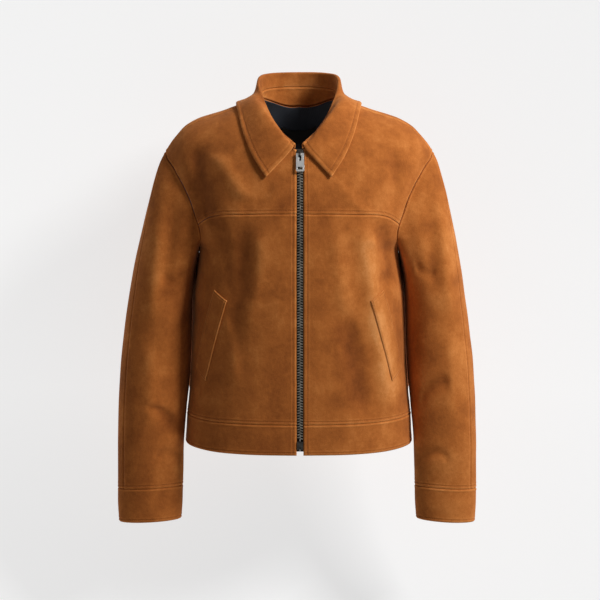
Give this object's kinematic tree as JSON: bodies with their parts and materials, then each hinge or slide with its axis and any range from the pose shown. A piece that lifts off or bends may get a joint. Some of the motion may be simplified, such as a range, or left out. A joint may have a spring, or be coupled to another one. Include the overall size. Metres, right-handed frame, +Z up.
{
  "type": "suede jacket",
  "caption": "Cropped suede jacket with a turned-down collar, front zip, slanted welt pockets, front yokes, plain cuffs and a waistband, filled out as worn with no wearer.",
  "frame": {"origin": "in the middle of the neck opening, level with the back neck seam", "axes": "+Z up, the front towards -Y, +X to the wearer's left"},
  "size_m": [0.5712, 0.2345, 0.715],
  "materials": {
    "suede": "soft matt suede nap",
    "lining": "smooth dark woven lining",
    "zip_tape": "dark woven tape",
    "zip_metal": "dark plated teeth and slider",
    "pull_metal": "bright plated pull"
  },
  "bodies": {
    "jacket": {"front_left": "suede", "front_right": "suede", "yoke_left": "suede", "yoke_right": "suede", "waistband_front_left": "suede", "waistband_front_right": "suede", "back": "suede", "waistband_back": "suede", "sleeve_left_front": "suede", "sleeve_left_back": "suede", "sleeve_right_front": "suede", "sleeve_right_back": "suede", "cuff_left": "suede", "cuff_right": "suede", "collar_fall": "suede", "collar_stand": "suede", "welt_left": "suede", "welt_right": "suede", "lining_back": "lining", "neck_label": "lining", "zip_tape_left": "zip_tape", "zip_tape_right": "zip_tape", "zip_chain": "zip_metal", "zip_stop": "zip_metal", "zip_slider": "zip_metal"},
    "pull_tab": {"zip_pull": "pull_metal"}
  },
  "joints": [
    {"name": "pull_swing", "type": "hinge", "parent": "jacket", "child": "pull_tab", "pos_m": [0.002, -0.10319, -0.07797], "axis": [-1, 0, 0], "range_deg": [0, 110]}
  ]
}
